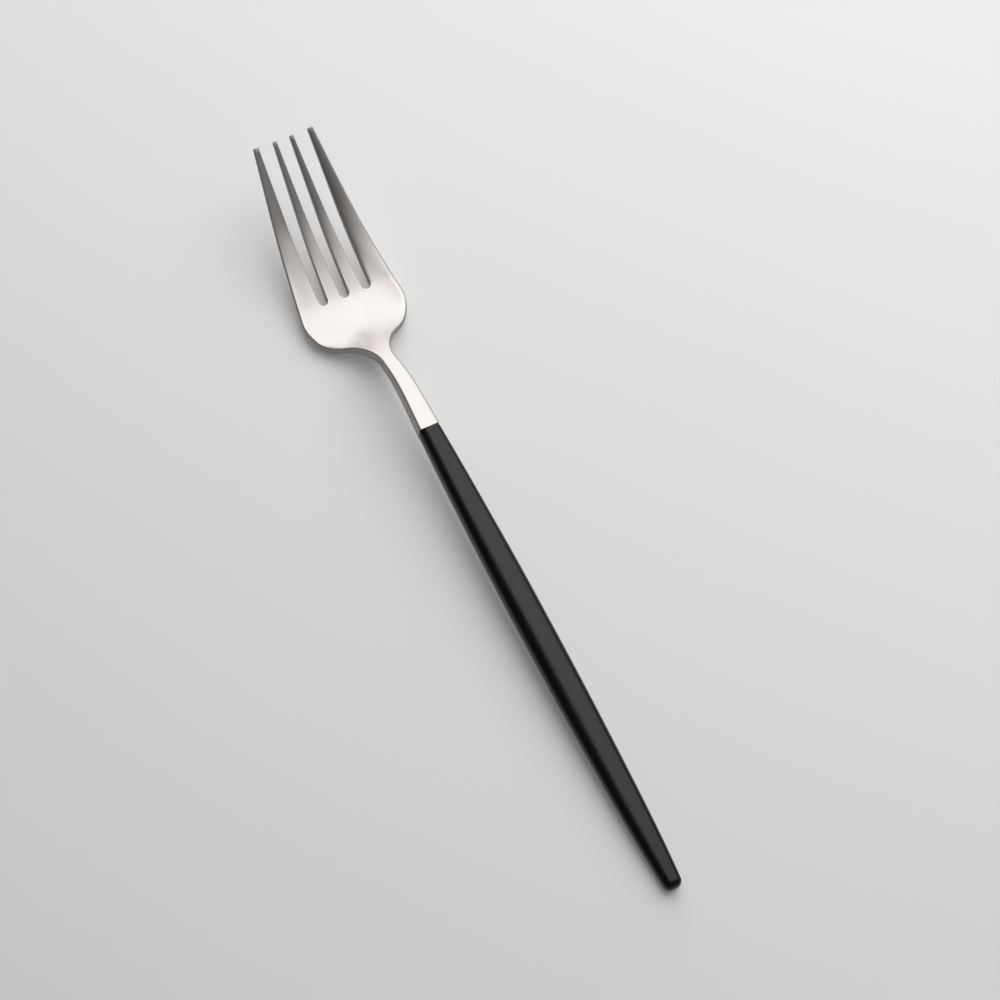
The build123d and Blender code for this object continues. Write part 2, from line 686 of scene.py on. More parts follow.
@dataclass(frozen=True)
class Slot:
    """A slot between two tines.

    Attributes:
        root_middle: Middle of its round end across the fork.
        tip_middle: Middle past the tips.
        root_half: Half width at its round end.
        tip_half: Half width past the tips.
        start: Station of its round end's centre.
        end: Station past the tips.
    """

    root_middle: float
    tip_middle: float
    root_half: float
    tip_half: float
    start: float
    end: float

    def wall(self, station: float, side: int) -> float:
        """Place across the fork of one wall.

        Args:
            station: Where along the fork.
            side: Minus one for the right wall, one for the left.

        Returns:
            The wall's place.
        """
        share = (station - self.start) / (self.end - self.start)
        middle = self.root_middle + (self.tip_middle - self.root_middle) * share
        return middle + side * (self.root_half + (self.tip_half - self.root_half) * share)

    def facing(self, side: int) -> Plan:
        """Direction that one wall faces, into the slot.

        Args:
            side: Minus one for the right wall, one for the left.

        Returns:
            The direction seen from above.
        """
        slope = (self.wall(self.end, side) - self.wall(self.start, side)) / (self.end - self.start)
        long = math.hypot(1.0, slope)
        return (side * slope / long, -side / long)


@dataclass(frozen=True)
class Tang:
    """Tapered, notched tang of the head, which the epoxy holds.

    Attributes:
        collar_middle: Height of the handle's middle line at the collar.
        length: From the collar to its end.
        size: Width and height at the collar.
        end_size: Width and height at its end.
        corner: Cut of its corners, and how far it reaches into the neck.
        notch_pitch: From the collar to the first notch, and from notch to notch.
        notch_radius: Radius of a notch.
        notch_count: Notches on each side.
        notch_steps: Steps along a notch.
    """

    collar_middle: float
    length: float = 62.0
    size: Plan = (3.0, 2.8)
    end_size: Plan = (2.2, 2.0)
    corner: float = 0.3
    notch_pitch: float = 15.0
    notch_radius: float = 0.5
    notch_count: int = 3
    notch_steps: int = 8

    @cached_property
    def notches(self) -> list[float]:
        """Stations of the notches' middles."""
        return [HANDLE_LENGTH - (index + 1) * self.notch_pitch for index in range(self.notch_count)]

    def half_size(self, station: float) -> Plan:
        """Half width and half height at a station, less the notches.

        Args:
            station: Where along the fork.

        Returns:
            The half width and the half height.
        """
        taper = min(max((HANDLE_LENGTH - station) / self.length, 0.0), 1.0)
        width, height = (a + (b - a) * taper for a, b in zip(self.size, self.end_size))
        bites = [max(self.notch_radius**2 - (station - middle) ** 2, 0.0) for middle in self.notches]
        return width / 2 - math.sqrt(max(bites)), height / 2

    def build(self, work: bmesh.types.BMesh) -> None:
        """Make the tang.

        Args:
            work: The mesh that receives it.
        """
        stations = {HANDLE_LENGTH - self.length, HANDLE_LENGTH + self.corner}
        for middle in self.notches:
            for step in range(self.notch_steps + 1):
                stations.add(middle + self.notch_radius * math.cos(math.pi * step / self.notch_steps))
        rings = []
        for station in sorted(stations):
            half, tall = self.half_size(station)
            rise = (self.collar_middle - TAIL_MIDDLE) * station / HANDLE_LENGTH + TAIL_MIDDLE
            quarter = ((half, tall - self.corner), (half - self.corner, tall))
            loop = [*quarter, *((-y, z) for y, z in reversed(quarter))]
            loop += [(-y, -z) for y, z in loop]
            x = station - FORK_LENGTH / 2
            rings.append([work.verts.new(Vector((x, y, rise + z)) * MM) for y, z in loop])
        for ring, following in zip(rings, rings[1:]):
            for step in range(len(ring)):
                after = (step + 1) % len(ring)
                work.faces.new((ring[step], ring[after], following[after], following[step]))
        work.faces.new(list(reversed(rings[0])))
        work.faces.new(rings[-1])


@dataclass
class SteelHead:
    """Neck, dished bowl, four tines and the hidden tang, in one mesh.

    Attributes:
        neck_width: Width of the neck at the collar.
        neck_height: Height of the neck at the collar.
        crest_station: Station of the top of the neck's arch.
        fall_station: Station on the fall into the bowl.
        heel_station: Station of the bowl's heel.
        bowl_station: Station of the lowest place in the bowl.
        sweep_stations: Stations on the upward sweep of the tines.
        top_heights: Heights of the top line at the collar, at these stations and at the tips.
        collar_slope: Slope of the top line at the collar.
        tip_slope: Slope of the top line at the tips.
        bowl_thickness: Thickness in the middle of the bowl.
        rim_thickness: Thickness at the bowl's rim.
        tip_thickness: Thickness at the tips.
        level_samples: Stations at which the underside's lowest height is looked for.
        dish_radius: Radius across the dish of the bowl.
        heel_radius: Radius across the crown of the heel.
        neck_corner: Rounding of the neck's edges.
        neck_crown: How far the neck's top falls to its edges.
        rim_corner: Rounding of the rim and of the outer tines' sides.
        tip_corner: Rounding of the tips.
        slot_corner: Rounding of the slots' edges.
        crown_slope: Slope of a tine's crowned top at its edges.
        crown_run: Length over which the tines' crown begins.
        root_station: Station where the lines of neck and shoulder meet.
        root_width: Width there.
        root_fillet: Radius of the rounding there.
        shoulder_station: Station where the lines of shoulder and tine meet.
        shoulder_span: Width there.
        shoulder_fillet: Radius of the rounding there.
        tip_span: Width over the tips.
        slot_station: Station where the slots begin.
        slot_root_width: Width of a slot at its round end.
        middle_slot_tip_width: Width of the middle slot past the tips.
        outer_slot_tip_width: Width of an outer slot past the tips.
        slot_root_pitch: From slot to slot at their round ends.
        slot_tip_pitch: From slot to slot past the tips.
        past_tip: How far past the tips these widths and this pitch are given.
        neck_rows: Rows along the neck.
        root_rows: Rows round the root's rounding.
        flank_rows: Rows along the straight shoulder.
        shoulder_rows: Rows round the shoulder's rounding.
        patch_rows: Rows from there to the slots' round ends.
        tine_rows: Rows along the tines.
        outer_columns: Columns across an outer tine.
        inner_columns: Columns across an inner tine.
        slot_columns: Columns across a slot, and steps round its end.
        round_steps: Steps from the top or underside to the middle of an edge.
        fan_steps: Steps round a tip's corner.
        spots: Station, place across and fall of the tine's crown of each top vertex, once they are laid.
    """

    neck_width: float = 5.3
    neck_height: float = 4.75
    crest_station: float = 142.0
    fall_station: float = 153.2
    heel_station: float = 159.0
    bowl_station: float = 166.0
    sweep_stations: tuple[float, ...] = (175.0, 182.0, 188.5, 195.0)
    top_heights: tuple[float, ...] = (11.55, 11.95, 7.75, 4.85, 2.44, 4.05, 6.63, 9.5, 13.2, 22.7)
    collar_slope: float = 0.03
    tip_slope: float = 0.65
    bowl_thickness: float = 2.4
    rim_thickness: float = 1.8
    tip_thickness: float = 1.0
    level_samples: int = 401
    dish_radius: float = 75.0
    heel_radius: float = 30.0
    neck_corner: float = 0.4
    neck_crown: float = 0.11
    rim_corner: float = 0.4
    tip_corner: float = 0.25
    slot_corner: float = 0.15
    crown_slope: float = 0.14
    crown_run: float = 10.0
    root_station: float = 155.5
    root_width: float = 3.3
    root_fillet: float = 10.0
    shoulder_station: float = 162.2
    shoulder_span: float = 29.2
    shoulder_fillet: float = 10.5
    tip_span: float = 16.4
    slot_station: float = 172.2
    slot_root_width: float = 2.35
    middle_slot_tip_width: float = 3.6
    outer_slot_tip_width: float = 4.05
    slot_root_pitch: float = 5.94
    slot_tip_pitch: float = 4.72
    past_tip: float = 2.0
    neck_rows: int = 28
    root_rows: int = 18
    flank_rows: int = 3
    shoulder_rows: int = 24
    patch_rows: int = 6
    tine_rows: int = 38
    outer_columns: int = 6
    inner_columns: int = 4
    slot_columns: int = 12
    round_steps: int = 4
    fan_steps: int = 3
    spots: list[Triple] = field(default_factory=list)

    @cached_property
    def top_line(self) -> SmoothLine:
        """Lay the top line along the middle of the head.

        Returns:
            The line from the collar to the tips.
        """
        bowl = (self.crest_station, self.fall_station, self.heel_station, self.bowl_station)
        stations = (HANDLE_LENGTH, *bowl, *self.sweep_stations, FORK_LENGTH)
        return SmoothLine(stations, self.top_heights, self.collar_slope, self.tip_slope)

    @cached_property
    def rest_level(self) -> float:
        """Lowest height of the underside before the bowl is set down."""
        stations = np.linspace(HANDLE_LENGTH, FORK_LENGTH, self.level_samples)
        return min(self.top_line.at(station)[0] - self.thickness(station) for station in stations)

    @property
    def collar_middle(self) -> float:
        """Height of the handle's middle line at the collar."""
        return self.top_heights[0] - self.rest_level - self.neck_height / 2

    @cached_property
    def slots(self) -> list[Slot]:
        """Set out the three slots.

        Returns:
            The slots from right to left.
        """
        start = self.slot_station + self.slot_root_width / 2
        end = FORK_LENGTH + self.past_tip
        made = []
        for side in (-1, 0, 1):
            width = self.outer_slot_tip_width if side else self.middle_slot_tip_width
            root, tip = side * self.slot_root_pitch, side * self.slot_tip_pitch
            made.append(Slot(root, tip, self.slot_root_width / 2, width / 2, start, end))
        return made

    def thickness(self, station: float) -> float:
        """Upright thickness of the steel at the middle of its width.

        Args:
            station: Where along the fork.

        Returns:
            The thickness, measured straight down.
        """
        to_bowl = ease(station, HANDLE_LENGTH, self.bowl_station)
        to_tip = ease(station, self.slot_station, FORK_LENGTH)
        thick = self.neck_height + (self.bowl_thickness - self.neck_height) * to_bowl
        thick += (self.tip_thickness - self.bowl_thickness) * to_tip
        return thick * math.hypot(1.0, self.top_line.at(station)[1])

    def corner(self, station: float) -> float:
        """Radius of the rounding along the outline at a station."""
        share = ease(station, HANDLE_LENGTH, self.bowl_station)
        return self.neck_corner + (self.rim_corner - self.neck_corner) * share

    def hollow(self, station: float) -> float:
        """Half the curvature across the top: dished in the bowl, crowned at the heel where the neck runs in.

        Args:
            station: Where along the fork.

        Returns:
            The rise over the middle, for each square of the place across.
        """
        to_dish = ease(station, self.crest_station, self.bowl_station)
        to_heel = ease(station, self.fall_station, self.heel_station)
        past_heel = ease(station, self.heel_station, self.bowl_station)
        return to_dish / (2 * self.dish_radius) - to_heel * (1 - past_heel) / (2 * self.heel_radius)

    @cached_property
    def fillets(self) -> tuple[Fillet, Fillet]:
        """Round the two corners of the half outline.

        Returns:
            The roundings at the root of the bowl and at its shoulder.
        """
        collar = Vector((HANDLE_LENGTH, self.neck_width / 2))
        root = Vector((self.root_station, self.root_width / 2))
        shoulder = Vector((self.shoulder_station, self.shoulder_span / 2))
        tip = Vector((FORK_LENGTH, self.tip_span / 2))
        first = Fillet(collar, root, shoulder, self.root_fillet)
        return first, Fillet(first.end, shoulder, tip, self.shoulder_fillet)

    @cached_property
    def outline(self) -> list[RimPoint]:
        """Follow half of the outline, seen from above, up to the outer tine's straight side.

        Returns:
            Its points from the collar on.
        """
        counts = ((self.neck_rows, self.root_rows), (self.flank_rows, self.shoulder_rows))
        points = []
        for fillet, (line_rows, arc_rows) in zip(self.fillets, counts):
            for step in range(line_rows):
                spot = fillet.before.lerp(fillet.start, step / line_rows)
                points.append(RimPoint(spot.x, spot.y, -fillet.come.y, fillet.come.x))
            points += [fillet.at(step / arc_rows) for step in range(arc_rows)]
        return points

    @cached_property
    def side_points(self) -> list[RimPoint]:
        """Follow the outer tine's straight side, with a row at the slots' round ends.

        Returns:
            Its points up to the tip.
        """
        shoulder = self.fillets[1]
        start = shoulder.end
        way = (shoulder.after - start).normalized()
        normal = Vector((-way.y, way.x))
        shift = normal.x * self.rim_corner
        meeting = self.slots[0].start
        rows = list(np.linspace(start.x - shift, meeting, self.patch_rows + 1))
        rows += list(np.linspace(meeting, FORK_LENGTH - self.tip_corner, self.tine_rows + 1))[1:]
        made = []
        for row in rows:
            x = row + shift
            y = start.y + (x - start.x) * way.y / way.x
            made.append(RimPoint(x, y, normal.x, normal.y))
        return made

    @cached_property
    def rim(self) -> list[RimPoint]:
        """The whole half outline from the collar to the tip."""
        return self.outline + self.side_points

    @cached_property
    def rim_table(self) -> tuple[np.ndarray, np.ndarray]:
        """Stations and half widths of the outline, for looking up a half width."""
        return np.array([point.x for point in self.rim]), np.array([point.y for point in self.rim])

    @property
    def patch_start(self) -> int:
        """Row at the end of the shoulder's rounding, past which rows bend towards the slots."""
        return len(self.outline)

    @property
    def patch_end(self) -> int:
        """Row at the centres of the slots' round ends."""
        return self.patch_start + self.patch_rows

    def height(self, layer: Layer, x: float, y: float, crown: float) -> float:
        """Height of the steel's top or underside.

        The neck's crown falls with the cube of the place across, so most of the neck stays flat.

        Args:
            layer: Which face.
            x: Station along the fork.
            y: Place across the fork.
            crown: How far a tine's slight crown falls there.

        Returns:
            The height above the floor.
        """
        level = self.top_line.at(x)[0] - self.rest_level
        dish = self.hollow(x)
        half = float(np.interp(x, *self.rim_table))
        if layer is Layer.TOP:
            on_neck = 1 - ease(x, self.crest_station, self.fall_station)
            fall = crown * ease(x, self.slot_station, self.slot_station + self.crown_run)
            fall += self.neck_crown * on_neck * abs(y / half) ** 3
            return level + dish * y * y - fall
        thick = self.thickness(x)
        to_rim = ease(half, self.neck_width / 2, self.shoulder_span / 2)
        rim = thick - (thick - min(thick, self.rim_thickness)) * to_rim
        return level - thick + (dish * half * half - rim + thick) * (y / half) ** 2

    @cached_property
    def bands(self) -> list[tuple[int, int]]:
        """Number the columns of the tines.

        Returns:
            First and last column of each tine from right to left.
        """
        widths = (self.outer_columns, self.inner_columns, self.inner_columns, self.outer_columns)
        bands = []
        first = 0
        for width in widths:
            bands.append((first, first + width))
            first += width + self.slot_columns
        return bands

    def tine_row(self, station: float, span: float) -> dict[int, Plan]:
        """Places across the tines at a station.

        Args:
            station: Where along the fork.
            span: Half width inside the outer rounding.

        Returns:
            For each column of a tine, its place across the fork and how far the tine's crown falls there.
        """
        edges = [-span]
        for slot in self.slots:
            edges += [slot.wall(station, -1) - self.slot_corner, slot.wall(station, 1) + self.slot_corner]
        edges.append(span)
        row = {}
        for index, (first, last) in enumerate(self.bands):
            right, left = edges[2 * index], edges[2 * index + 1]
            for column in range(first, last + 1):
                share = (column - first) / (last - first)
                crown = self.crown_slope * (left - right) * (share - 0.5) ** 2
                row[column] = (right + (left - right) * share, crown)
        return row

    def arc_place(self, slot: Slot, step: int) -> Plan:
        """Place on the inset round end of a slot.

        Args:
            slot: The slot.
            step: Which step, from its right wall to its left wall.

        Returns:
            Station and place across the fork.
        """
        angle = math.pi * step / self.slot_columns
        radius = slot.root_half + self.slot_corner
        return slot.start - radius * math.sin(angle), slot.root_middle - radius * math.cos(angle)

    def lay_grid(self) -> Grid:
        """Lay the top's vertices in plan, row by row from the collar to the tips.

        Returns:
            For each row, the vertex of each column.
        """
        self.spots.clear()
        insets = []
        for point in self.rim:
            reach = self.corner(point.x)
            insets.append((point.x - point.nx * reach, point.y - point.ny * reach))
        station, half = insets[self.patch_end]
        known = self.tine_row(station, half)
        crowns = {column: crown for column, (_, crown) in known.items()}
        shares = {column: place / half for column, (place, _) in known.items()}
        for (_, last), (first, _) in zip(self.bands, self.bands[1:]):
            for column in range(last + 1, first):
                part = (column - last) / (first - last)
                shares[column] = shares[last] + (shares[first] - shares[last]) * part
        grid = []
        for index, (x, span) in enumerate(insets):
            if index < self.patch_end:
                places = {column: (share * span, crowns.get(column, 0.0)) for column, share in shares.items()}
            else:
                places = self.tine_row(x, span)
            row = {}
            for column in sorted(places):
                row[column] = len(self.spots)
                self.spots.append((x, *places[column]))
            grid.append(row)
        self.bend_rows(grid)
        return grid

    def plan(self, vertex: int) -> np.ndarray:
        """Station and place across the fork of a top vertex."""
        return np.array(self.spots[vertex][:2])

    def bend_rows(self, grid: Grid) -> None:
        """Bend the rows below each slot towards its round end.

        Args:
            grid: The rows of vertices, which gain the round ends.
        """
        begin, finish = self.patch_start, self.patch_end
        for slot, (_, right), (left, _) in zip(self.slots, self.bands, self.bands[1:]):
            for step in range(1, self.slot_columns):
                grid[finish][right + step] = len(self.spots)
                self.spots.append((*self.arc_place(slot, step), 0.0))
            ends = [[self.plan(grid[row][column]) for column in (right, left)] for row in (begin, finish)]
            for row in range(begin + 1, finish):
                v = (row - begin) / (finish - begin)
                for step in range(1, self.slot_columns):
                    u = step / self.slot_columns
                    column = right + step
                    along = (1 - v) * self.plan(grid[begin][column]) + v * self.plan(grid[finish][column])
                    across = (1 - u) * self.plan(grid[row][right]) + u * self.plan(grid[row][left])
                    lower, upper = ((1 - u) * first + u * last for first, last in ends)
                    x, y = along + across - (1 - v) * lower - v * upper
                    self.spots[grid[row][column]] = (float(x), float(y), 0.0)

    def fan(self, first: EdgeSpot, last: EdgeSpot) -> list[EdgeSpot]:
        """Turn round a tip's corner in even steps.

        Args:
            first: The edge before the corner.
            last: The edge after the corner.

        Returns:
            The steps between the two.
        """
        begin = math.atan2(first.normal[1], first.normal[0])
        swing = math.remainder(math.atan2(last.normal[1], last.normal[0]) - begin, math.tau)
        spots = []
        for step in range(1, self.fan_steps + 1):
            share = step / (self.fan_steps + 1)
            angle = begin + swing * share
            reach = first.reach + (last.reach - first.reach) * share
            spots.append(EdgeSpot(last.vertex, (math.cos(angle), math.sin(angle)), reach))
        return spots

    def edge_chain(self, grid: Grid) -> list[EdgeSpot]:
        """Follow the head's edge from the collar's right side round the tines to its left side.

        Args:
            grid: The rows of top vertices.

        Returns:
            The edge's spots in order.
        """
        right = []
        left = []
        for row, point in zip(grid, self.rim):
            reach = self.corner(point.x)
            right.append(EdgeSpot(row[0], (point.nx, -point.ny), reach))
            left.insert(0, EdgeSpot(row[self.bands[-1][1]], (point.nx, point.ny), reach))
        runs = [right]
        for index, (first, last) in enumerate(self.bands):
            ends = [grid[-1][column] for column in range(first, last + 1)]
            runs.append([EdgeSpot(vertex, (1.0, 0.0), self.tip_corner) for vertex in ends])
            if index < len(self.slots):
                runs.append(self.slot_run(grid, self.slots[index], last))
        runs.append(left)
        chain = list(right)
        for before, after in zip(runs, runs[1:]):
            chain += self.fan(before[-1], after[0])
            chain += after
        return chain

    def slot_run(self, grid: Grid, slot: Slot, column: int) -> list[EdgeSpot]:
        """Follow one slot's wall from its right tip, round its end, to its left tip.

        Args:
            grid: The rows of top vertices.
            slot: The slot.
            column: The column on its right wall.

        Returns:
            The wall's spots in order.
        """
        reach = self.slot_corner
        rows = grid[self.patch_end :]
        run = [EdgeSpot(row[column], slot.facing(-1), reach) for row in reversed(rows)]
        for step in range(1, self.slot_columns):
            angle = math.pi * step / self.slot_columns
            run.append(EdgeSpot(rows[0][column + step], (math.sin(angle), math.cos(angle)), reach))
        run += [EdgeSpot(row[column + self.slot_columns], slot.facing(1), reach) for row in rows]
        return run

    def place(self, layer: Layer, spot: Triple, drop: float = 0.0) -> Vector:
        """Point in metres on the top or underside.

        Args:
            layer: Which face.
            spot: Station, place across the fork and fall of the tine's crown.
            drop: How far inside the face it lies.

        Returns:
            The point in the fork's frame.
        """
        x, y, crown = spot
        z = self.height(layer, x, y, crown) - layer.value * drop
        return Vector((x - FORK_LENGTH / 2, y, z)) * MM

    def build_shell(self, work: bmesh.types.BMesh) -> None:
        """Make the neck, bowl and tines as one closed shell.

        Args:
            work: The mesh that receives them.
        """
        grid = self.lay_grid()
        edge = work.verts.layers.float.new(EDGE)
        tops = [work.verts.new(self.place(Layer.TOP, spot)) for spot in self.spots]
        unders = [work.verts.new(self.place(Layer.UNDER, spot)) for spot in self.spots]
        for row, following in zip(grid, grid[1:]):
            for column in row:
                after = column + 1
                names = (row[column], following.get(column), following.get(after), row.get(after))
                if None not in names:
                    work.faces.new([tops[name] for name in names])
                    work.faces.new([unders[name] for name in reversed(names)])
        ribs = [self.build_rib(work, spot, tops, unders) for spot in self.edge_chain(grid)]
        for rib, following in zip(ribs, ribs[1:]):
            for step in range(len(rib) - 1):
                ring = dict.fromkeys((rib[step], rib[step + 1], following[step + 1], following[step]))
                work.faces.new(list(ring))
        # Mark the rounded edges, which the steel darkens as painted shade and makes rougher.
        for rib in ribs:
            for vertex in rib[1:-1]:
                vertex[edge] = 1.0
        across = [grid[0][column] for column in sorted(grid[0])]
        cap = list(reversed(ribs[0])) + [tops[name] for name in across[1:-1]]
        cap += ribs[-1] + [unders[name] for name in reversed(across[1:-1])]
        work.faces.new(cap)

    def build_rib(
        self,
        work: bmesh.types.BMesh,
        spot: EdgeSpot,
        tops: Vertices,
        unders: Vertices,
    ) -> Vertices:
        """Make the rounded profile at one spot of the edge, from the top to the underside.

        Args:
            work: The mesh that receives it.
            spot: Where it stands.
            tops: The top's vertices.
            unders: The underside's vertices.

        Returns:
            Its vertices from top to underside.
        """
        x, y, crown = self.spots[spot.vertex]
        rib = [tops[spot.vertex]]
        steps = [math.pi / 2 * step / self.round_steps for step in range(1, self.round_steps + 1)]
        for layer, angles in ((Layer.TOP, steps), (Layer.UNDER, reversed(steps))):
            for angle in angles:
                out = spot.reach * math.sin(angle)
                moved = (x + spot.normal[0] * out, y + spot.normal[1] * out, crown)
                drop = spot.reach * (1 - math.cos(angle))
                rib.append(work.verts.new(self.place(layer, moved, drop)))
        rib.append(unders[spot.vertex])
        return rib

    def make(self, finish: bpy.types.Material) -> bpy.types.Object:
        """Build the head and set it in its node's place.

        Args:
            finish: The steel.

        Returns:
            The finished piece.
        """
        work = bmesh.new()
        self.build_shell(work)
        Tang(self.collar_middle).build(work)
        bmesh.ops.remove_doubles(work, verts=work.verts, dist=SAME_POINT)
        bmesh.ops.dissolve_degenerate(work, edges=work.edges, dist=NO_LENGTH)
        mesh = bpy.data.meshes.new("steel_head")
        face_outwards(work, mesh)
        return set_piece(mesh, finish, "fork_head")


@dataclass
class ResinHandle:
    """Slim handle, rounded-rectangular across, swelling past its middle, with a blunt round tail.

    Attributes:
        collar_middle: Height of its middle line at the collar.
        stations: Stations of the sizes below.
        widths: Widths at the stations.
        heights: Heights at the stations.
        squareness: How square the section is at the stations: two is an ellipse.
        most_square: The most that the squareness can be.
        tail_round: Radius of the tail's rounding.
        front_ease: Radius of the rounding at the collar.
        rings: Sections along it, the first and last closed to a point.
        around: Points round a section, the first one twice.
        same_point: Distance in metres under which points are joined.
    """

    collar_middle: float
    stations: tuple[float, ...] = (0.0, 30.0, 76.0, 106.0, HANDLE_LENGTH)
    widths: tuple[float, ...] = (4.5, 7.2, 8.1, 7.1, 5.8)
    heights: tuple[float, ...] = (3.6, 4.6, 5.5, 5.4, 5.2)
    squareness: tuple[float, ...] = (2.35, 2.4, 2.5, 2.8, 2.8)
    most_square: float = 6.0
    tail_round: float = 1.7
    front_ease: float = 0.4
    rings: int = 161
    around: int = 73
    same_point: float = 1e-7

    @property
    def sizes(self) -> dict[str, float]:
        """Gather the named inputs of the geometry tree.

        Returns:
            The size for each input's name.
        """
        return {
            "Length": HANDLE_LENGTH,
            "Origin": FORK_LENGTH / 2,
            "Width": max(self.widths),
            "Height": max(self.heights),
            "Tail Round": self.tail_round,
            "Front Ease": self.front_ease,
            "Tail Middle": TAIL_MIDDLE,
            "Collar Middle": self.collar_middle,
        }

    def curve(self, book: NodeBook, share: Value, sizes: tuple[float, ...], most: float) -> Value:
        """Read a size that changes along the handle.

        Args:
            book: The geometry tree's node book.
            share: Share of the handle's length.
            sizes: The size at each station.
            most: The largest size that the curve can hold.

        Returns:
            The size as a share of the largest.
        """
        points = [(station / HANDLE_LENGTH, size / most) for station, size in zip(self.stations, sizes)]
        return book.value("ShaderNodeFloatCurve", {"points": points}, {"Value": share})

    @staticmethod
    def rounded(wave: Value, power: Value) -> Value:
        """Square up a sine or cosine towards a rounded rectangle."""
        return wave.apply("SIGN") * wave.apply("ABSOLUTE") ** power

    @staticmethod
    def inset(depth: Value, radius: Value) -> Value:
        """How far a quarter round pulls the section in, a depth past where it starts."""
        inside = depth.apply("MAXIMUM", 0.0)
        return radius - (radius * radius - inside * inside).apply("MAXIMUM", 0.0).apply("SQRT")

    def wrap(self, book: NodeBook, size: dict[str, Value]) -> bpy.types.NodeSocket:
        """Wrap a flat grid, one unit each way, into the handle.

        Args:
            book: The geometry tree's node book.
            size: The tree's named inputs.

        Returns:
            The socket of each point's place.
        """
        flat = book.add("ShaderNodeSeparateXYZ", None, {0: book.add("GeometryNodeInputPosition").outputs[0]})
        along = Value(book, flat.outputs["X"]) + 0.5
        turn = (Value(book, flat.outputs["Y"]) + 0.5) * math.tau
        share = (1 - (along * math.pi).apply("COSINE")) * 0.5
        station = share * size["Length"]
        pulled = self.inset(size["Tail Round"] - station, size["Tail Round"])
        pulled += self.inset(station - size["Length"] + size["Front Ease"], size["Front Ease"])
        margin = 0.5 / self.rings
        open_ring = along.apply("GREATER_THAN", margin) * along.apply("LESS_THAN", 1 - margin)
        power = 2 / (self.curve(book, share, self.squareness, self.most_square) * self.most_square)
        wide = self.curve(book, share, self.widths, max(self.widths)) * size["Width"] * 0.5 - pulled
        tall = self.curve(book, share, self.heights, max(self.heights)) * size["Height"] * 0.5 - pulled
        across = self.rounded(turn.apply("COSINE"), power) * wide * open_ring
        above = self.rounded(turn.apply("SINE"), power) * tall * open_ring
        axis = size["Tail Middle"] + (size["Collar Middle"] - size["Tail Middle"]) * share
        sockets = {"X": station - size["Origin"], "Y": across, "Z": above + axis}
        return book.add("ShaderNodeCombineXYZ", None, sockets).outputs[0]

    def tree(self) -> tuple[bpy.types.NodeTree, dict[str, str]]:
        """Build the geometry tree.

        Returns:
            The tree, and the identifier of each named input.
        """
        tree = bpy.data.node_groups.new("resin_handle_shape", "GeometryNodeTree")
        kinds = dict.fromkeys(self.sizes, "NodeSocketFloat") | {"Finish": "NodeSocketMaterial"}
        names = {}
        for name, kind in kinds.items():
            names[name] = tree.interface.new_socket(name, in_out="INPUT", socket_type=kind).identifier
        tree.interface.new_socket("Geometry", in_out="OUTPUT", socket_type="NodeSocketGeometry")
        book = NodeBook(tree)
        given = book.add("NodeGroupInput").outputs
        counts = {"Size X": 1.0, "Size Y": 1.0, "Vertices X": self.rings, "Vertices Y": self.around}
        shape = book.add("GeometryNodeMeshGrid", None, counts).outputs["Mesh"]
        point = self.wrap(book, {name: Value(book, given[name]) for name in self.sizes})
        steps = {
            "GeometryNodeSetPosition": {"Position": point},
            "GeometryNodeMergeByDistance": {"Distance": self.same_point},
            "GeometryNodeRealizeInstances": {},
            "GeometryNodeSetMaterial": {"Material": given["Finish"]},
        }
        for kind, sockets in steps.items():
            shape = book.add(kind, None, {"Geometry": shape, **sockets}).outputs[0]
        book.add("NodeGroupOutput", None, {"Geometry": shape})
        return tree, names

    def make(self, finish: bpy.types.Material) -> bpy.types.Object:
        """Build the handle and set it in its node's place.

        Args:
            finish: The resin.

        Returns:
            The finished piece.
        """
        tree, names = self.tree()
        carrier = bpy.data.objects.new("handle_carrier", bpy.data.meshes.new("handle_carrier"))
        bpy.context.scene.collection.objects.link(carrier)
        modifier = carrier.modifiers.new("shape", "NODES")
        modifier.node_group = tree
        for name, size in self.sizes.items():
            modifier[names[name]] = size * MM
        modifier[names["Finish"]] = finish
        graph = bpy.context.evaluated_depsgraph_get()
        mesh = bpy.data.meshes.new_from_object(carrier.evaluated_get(graph))
        bpy.data.objects.remove(carrier)
        mesh.name = "resin_handle"
        work = bmesh.new()
        work.from_mesh(mesh)
        face_outwards(work, mesh)
        return set_piece(mesh, finish, "handle_grip")


def face_outwards(work: bmesh.types.BMesh, mesh: bpy.types.Mesh) -> None:
    """Turn the faces outwards, write them to a mesh and let the working mesh go.

    Args:
        work: The working mesh.
        mesh: The mesh that receives its faces.
    """
    bmesh.ops.recalc_face_normals(work, faces=work.faces)
    work.to_mesh(mesh)
    work.free()


def set_piece(mesh: bpy.types.Mesh, finish: bpy.types.Material, node: str) -> bpy.types.Object:
    """Make a mesh a finished piece that stands for a node.

    Args:
        mesh: The piece's mesh, in its place.
        finish: Its material.
        node: The node that it replaces.

    Returns:
        The finished piece.
    """
    mesh.materials.clear()
    mesh.materials.append(finish)
    mesh.polygons.foreach_set("use_smooth", [True] * len(mesh.polygons))
    mesh.set_sharp_from_angle(angle=math.radians(SHARP_ANGLE))
    piece = bpy.data.objects.new(mesh.name, mesh)
    bpy.context.scene.collection.objects.link(piece)
    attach(piece, "root")
    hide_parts(node)
    LOG.info("%s: %d faces for %s", piece.name, len(mesh.polygons), node)
    return piece


@dataclass(frozen=True)
class Softbox:
    """A large soft lamp.

    Attributes:
        name: Its name.
        middle: Its middle in metres, in the fork's frame.
        lean: How far its far end leans down, in degrees.
        size: Its length along the fork and its width across it, in metres.
        near_fade: Share of its length over which its light fades to its near end.
        left_fade: Share of its width over which its light fades to its left side.
        right_drop: How much weaker its light is at its right side.
        power: Its power in watts.
    """

    name: str
    middle: Triple
    lean: float
    size: Plan
    near_fade: float
    left_fade: float
    right_drop: float
    power: float


